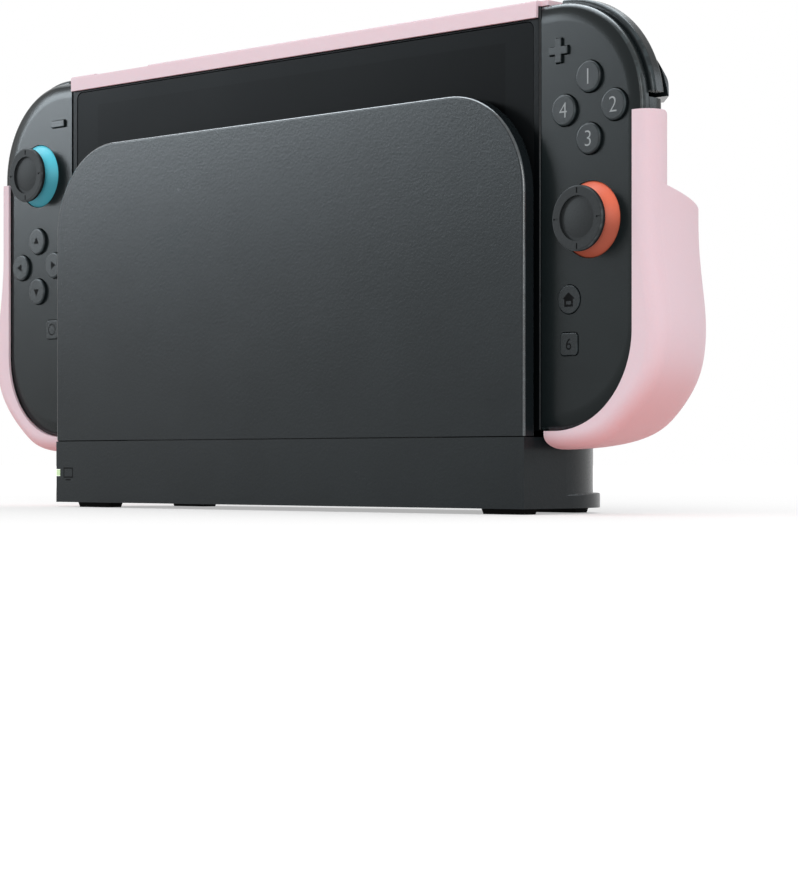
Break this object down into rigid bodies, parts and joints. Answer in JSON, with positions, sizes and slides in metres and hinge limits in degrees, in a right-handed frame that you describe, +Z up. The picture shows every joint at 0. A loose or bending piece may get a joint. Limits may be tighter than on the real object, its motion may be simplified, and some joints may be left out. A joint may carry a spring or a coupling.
{
  "type": "docked game console with case",
  "caption": "Handheld game console with side controllers in a protective grip case, standing in its dock; console lifts out, controllers pull off, keys and sticks move.",
  "frame": {"origin": "on the surface that the dock stands on, at the middle of the dock's width and depth", "axes": "+X to the right seen from the front, +Y to the back, +Z up"},
  "size_m": [0.2846, 0.0512, 0.1385],
  "materials": {
    "dock_plastic": "fine matte texture",
    "foot_rubber": "matte",
    "indicator": "lit translucent lens",
    "board": "satin solder mask",
    "plug_plastic": "satin",
    "screen_glass": "polished, dark",
    "console_plastic": "satin",
    "console_key": "satin",
    "battery": "satin wrap",
    "fan_plastic": "satin",
    "case_pink": "soft touch",
    "controller_plastic": "fine matte texture",
    "inner_plastic": "satin",
    "stick_rubber": "matte",
    "left_skirt": "satin",
    "right_skirt": "satin",
    "key_plastic": "satin gloss"
  },
  "bodies": {
    "dock": {"dock_front_panel": "dock_plastic", "dock_base": "dock_plastic", "dock_rear_housing": "dock_plastic", "dock_feet": "foot_rubber", "dock_indicator_lens": "indicator", "dock_main_board": "board", "dock_plug": "plug_plastic"},
    "dock_cover": {"dock_rear_cover": "dock_plastic"},
    "console": {"console_screen": "screen_glass", "console_frame": "console_plastic", "console_rear_cover": "console_plastic", "console_kickstand": "console_plastic", "console_battery": "battery", "console_main_board": "board"},
    "case_panel": {"case_back_panel": "case_pink"},
    "power_button": {"console_power_button": "console_key"},
    "volume_rocker": {"console_volume_rocker": "console_key"},
    "card_flap": {"console_card_flap": "console_key"},
    "fan": {"console_fan_rotor": "fan_plastic"},
    "left_controller": {"left_front_shell": "controller_plastic", "left_rear_shell": "controller_plastic", "left_side_rail": "inner_plastic", "left_main_board": "board"},
    "left_grip": {"case_left_grip": "case_pink"},
    "left_gimbal": {"left_stick_gimbal": "inner_plastic"},
    "left_stem": {"left_stick_stem": "inner_plastic"},
    "left_thumb": {"left_stick_cap": "stick_rubber", "left_stick_skirt": "left_skirt"},
    "left_shoulder": {"left_shoulder_button": "key_plastic"},
    "left_trigger": {"left_trigger": "key_plastic"},
    "left_release": {"left_release_button": "key_plastic"},
    "left_lower_rail_key": {"left_lower_rail_button": "key_plastic"},
    "left_upper_rail_key": {"left_upper_rail_button": "key_plastic"},
    "left_up_key": {"left_up_button": "key_plastic"},
    "left_down_key": {"left_down_button": "key_plastic"},
    "left_left_key": {"left_left_button": "key_plastic"},
    "left_right_key": {"left_right_button": "key_plastic"},
    "left_minus_key": {"left_minus_button": "key_plastic"},
    "left_capture_key": {"left_capture_button": "key_plastic"},
    "right_controller": {"right_front_shell": "controller_plastic", "right_rear_shell": "controller_plastic", "right_side_rail": "inner_plastic", "right_main_board": "board"},
    "right_grip": {"case_right_grip": "case_pink"},
    "right_gimbal": {"right_stick_gimbal": "inner_plastic"},
    "right_stem": {"right_stick_stem": "inner_plastic"},
    "right_thumb": {"right_stick_cap": "stick_rubber", "right_stick_skirt": "right_skirt"},
    "right_shoulder": {"right_shoulder_button": "key_plastic"},
    "right_trigger": {"right_trigger": "key_plastic"},
    "right_release": {"right_release_button": "key_plastic"},
    "right_lower_rail_key": {"right_lower_rail_button": "key_plastic"},
    "right_upper_rail_key": {"right_upper_rail_button": "key_plastic"},
    "right_top_key": {"right_top_button": "key_plastic"},
    "right_bottom_key": {"right_bottom_button": "key_plastic"},
    "right_inner_key": {"right_inner_button": "key_plastic"},
    "right_outer_key": {"right_outer_button": "key_plastic"},
    "right_plus_key": {"right_plus_button": "key_plastic"},
    "right_house_key": {"right_house_button": "key_plastic"},
    "right_square_key": {"right_square_button": "key_plastic"}
  },
  "joints": [
    {"name": "dock_cover_pull", "type": "slide", "parent": "dock", "child": "dock_cover", "axis": [0, 1, 0], "range_m": [0, 0.03]},
    {"name": "console_lift", "type": "slide", "parent": "dock", "child": "console", "axis": [0, 0, 1], "range_m": [0, 0.1]},
    {"name": "case_panel_lift", "type": "slide", "parent": "console", "child": "case_panel", "axis": [0, 0, 1], "range_m": [0, 0.1]},
    {"name": "power_press", "type": "slide", "parent": "console", "child": "power_button", "axis": [0, 0, -1], "range_m": [0, 0.0005], "stiffness_N_per_m": 300, "springref_m": -0.0004},
    {"name": "volume_rock", "type": "hinge", "parent": "console", "child": "volume_rocker", "pos_m": [-0.0705, -0.01335, 0.13465], "axis": [0, 1, 0], "range_deg": [-2, 2], "stiffness_Nm_per_rad": 0.02},
    {"name": "card_flap_hinge", "type": "hinge", "parent": "console", "child": "card_flap", "pos_m": [0.073, -0.0107, 0.13635], "axis": [-1, 0, 0], "range_deg": [0, 100]},
    {"name": "fan_spin", "type": "hinge", "parent": "console", "child": "fan", "pos_m": [0.028, -0.01345, 0.1069], "axis": [0, 1, 0], "continuous": true},
    {"name": "left_controller_pull", "type": "slide", "parent": "console", "child": "left_controller", "axis": [-1, 0, 0], "range_m": [0, 0.03]},
    {"name": "left_grip_pull", "type": "slide", "parent": "left_controller", "child": "left_grip", "axis": [-1, 0, 0], "range_m": [0, 0.03]},
    {"name": "left_stick_tilt", "type": "hinge", "parent": "left_controller", "child": "left_gimbal", "pos_m": [-0.1181, -0.0123, 0.108], "axis": [1, 0, 0], "range_deg": [-13, 13], "stiffness_Nm_per_rad": 0.02},
    {"name": "left_stick_sway", "type": "hinge", "parent": "left_gimbal", "child": "left_stem", "pos_m": [-0.1181, -0.0123, 0.108], "axis": [0, 0, 1], "range_deg": [-13, 13], "stiffness_Nm_per_rad": 0.02},
    {"name": "left_stick_click", "type": "slide", "parent": "left_stem", "child": "left_thumb", "axis": [0, 1, 0], "range_m": [0, 0.0005], "stiffness_N_per_m": 600, "springref_m": -0.0004},
    {"name": "left_shoulder_press", "type": "hinge", "parent": "left_controller", "child": "left_shoulder", "pos_m": [-0.1073, -0.01005, 0.1304], "axis": [0, -1, 0], "range_deg": [0, 2], "stiffness_Nm_per_rad": 0.1, "springref_deg": -1.72},
    {"name": "left_trigger_press", "type": "hinge", "parent": "left_controller", "child": "left_trigger", "pos_m": [-0.11115, -0.00935, 0.1295], "axis": [-1, 0, 0], "range_deg": [0, 6], "stiffness_Nm_per_rad": 0.1, "springref_deg": -1.72},
    {"name": "left_release_press", "type": "slide", "parent": "left_controller", "child": "left_release", "axis": [0, -1, 0], "range_m": [0, 0.001], "stiffness_N_per_m": 300, "springref_m": -0.0004},
    {"name": "left_lower_rail_key_press", "type": "slide", "parent": "left_controller", "child": "left_lower_rail_key", "axis": [-1, 0, 0], "range_m": [0, 0.0005], "stiffness_N_per_m": 300, "springref_m": -0.0004},
    {"name": "left_upper_rail_key_press", "type": "slide", "parent": "left_controller", "child": "left_upper_rail_key", "axis": [-1, 0, 0], "range_m": [0, 0.0005], "stiffness_N_per_m": 300, "springref_m": -0.0004},
    {"name": "left_up_key_press", "type": "slide", "parent": "left_controller", "child": "left_up_key", "axis": [0, 1, 0], "range_m": [0, 0.0008], "stiffness_N_per_m": 300, "springref_m": -0.0004},
    {"name": "left_down_key_press", "type": "slide", "parent": "left_controller", "child": "left_down_key", "axis": [0, 1, 0], "range_m": [0, 0.0008], "stiffness_N_per_m": 300, "springref_m": -0.0004},
    {"name": "left_left_key_press", "type": "slide", "parent": "left_controller", "child": "left_left_key", "axis": [0, 1, 0], "range_m": [0, 0.0008], "stiffness_N_per_m": 300, "springref_m": -0.0004},
    {"name": "left_right_key_press", "type": "slide", "parent": "left_controller", "child": "left_right_key", "axis": [0, 1, 0], "range_m": [0, 0.0008], "stiffness_N_per_m": 300, "springref_m": -0.0004},
    {"name": "left_minus_key_press", "type": "slide", "parent": "left_controller", "child": "left_minus_key", "axis": [0, 1, 0], "range_m": [0, 0.0008], "stiffness_N_per_m": 300, "springref_m": -0.0004},
    {"name": "left_capture_key_press", "type": "slide", "parent": "left_controller", "child": "left_capture_key", "axis": [0, 1, 0], "range_m": [0, 0.0003], "stiffness_N_per_m": 300, "springref_m": -0.0004},
    {"name": "right_controller_pull", "type": "slide", "parent": "console", "child": "right_controller", "axis": [1, 0, 0], "range_m": [0, 0.03]},
    {"name": "right_grip_pull", "type": "slide", "parent": "right_controller", "child": "right_grip", "axis": [1, 0, 0], "range_m": [0, 0.03]},
    {"name": "right_stick_tilt", "type": "hinge", "parent": "right_controller", "child": "right_gimbal", "pos_m": [0.1181, -0.0123, 0.0784], "axis": [1, 0, 0], "range_deg": [-13, 13], "stiffness_Nm_per_rad": 0.02},
    {"name": "right_stick_sway", "type": "hinge", "parent": "right_gimbal", "child": "right_stem", "pos_m": [0.1181, -0.0123, 0.0784], "axis": [0, 0, 1], "range_deg": [-13, 13], "stiffness_Nm_per_rad": 0.02},
    {"name": "right_stick_click", "type": "slide", "parent": "right_stem", "child": "right_thumb", "axis": [0, 1, 0], "range_m": [0, 0.0005], "stiffness_N_per_m": 600, "springref_m": -0.0004},
    {"name": "right_shoulder_press", "type": "hinge", "parent": "right_controller", "child": "right_shoulder", "pos_m": [0.1073, -0.01005, 0.1304], "axis": [0, 1, 0], "range_deg": [0, 2], "stiffness_Nm_per_rad": 0.1, "springref_deg": -1.72},
    {"name": "right_trigger_press", "type": "hinge", "parent": "right_controller", "child": "right_trigger", "pos_m": [0.11115, -0.00935, 0.1295], "axis": [-1, 0, 0], "range_deg": [0, 6], "stiffness_Nm_per_rad": 0.1, "springref_deg": -1.72},
    {"name": "right_release_press", "type": "slide", "parent": "right_controller", "child": "right_release", "axis": [0, -1, 0], "range_m": [0, 0.001], "stiffness_N_per_m": 300, "springref_m": -0.0004},
    {"name": "right_lower_rail_key_press", "type": "slide", "parent": "right_controller", "child": "right_lower_rail_key", "axis": [1, 0, 0], "range_m": [0, 0.0005], "stiffness_N_per_m": 300, "springref_m": -0.0004},
    {"name": "right_upper_rail_key_press", "type": "slide", "parent": "right_controller", "child": "right_upper_rail_key", "axis": [1, 0, 0], "range_m": [0, 0.0005], "stiffness_N_per_m": 300, "springref_m": -0.0004},
    {"name": "right_top_key_press", "type": "slide", "parent": "right_controller", "child": "right_top_key", "axis": [0, 1, 0], "range_m": [0, 0.0008], "stiffness_N_per_m": 300, "springref_m": -0.0004},
    {"name": "right_bottom_key_press", "type": "slide", "parent": "right_controller", "child": "right_bottom_key", "axis": [0, 1, 0], "range_m": [0, 0.0008], "stiffness_N_per_m": 300, "springref_m": -0.0004},
    {"name": "right_inner_key_press", "type": "slide", "parent": "right_controller", "child": "right_inner_key", "axis": [0, 1, 0], "range_m": [0, 0.0008], "stiffness_N_per_m": 300, "springref_m": -0.0004},
    {"name": "right_outer_key_press", "type": "slide", "parent": "right_controller", "child": "right_outer_key", "axis": [0, 1, 0], "range_m": [0, 0.0008], "stiffness_N_per_m": 300, "springref_m": -0.0004},
    {"name": "right_plus_key_press", "type": "slide", "parent": "right_controller", "child": "right_plus_key", "axis": [0, 1, 0], "range_m": [0, 0.0008], "stiffness_N_per_m": 300, "springref_m": -0.0004},
    {"name": "right_house_key_press", "type": "slide", "parent": "right_controller", "child": "right_house_key", "axis": [0, 1, 0], "range_m": [0, 0.0003], "stiffness_N_per_m": 300, "springref_m": -0.0004},
    {"name": "right_square_key_press", "type": "slide", "parent": "right_controller", "child": "right_square_key", "axis": [0, 1, 0], "range_m": [0, 0.0003], "stiffness_N_per_m": 300, "springref_m": -0.0004}
  ]
}
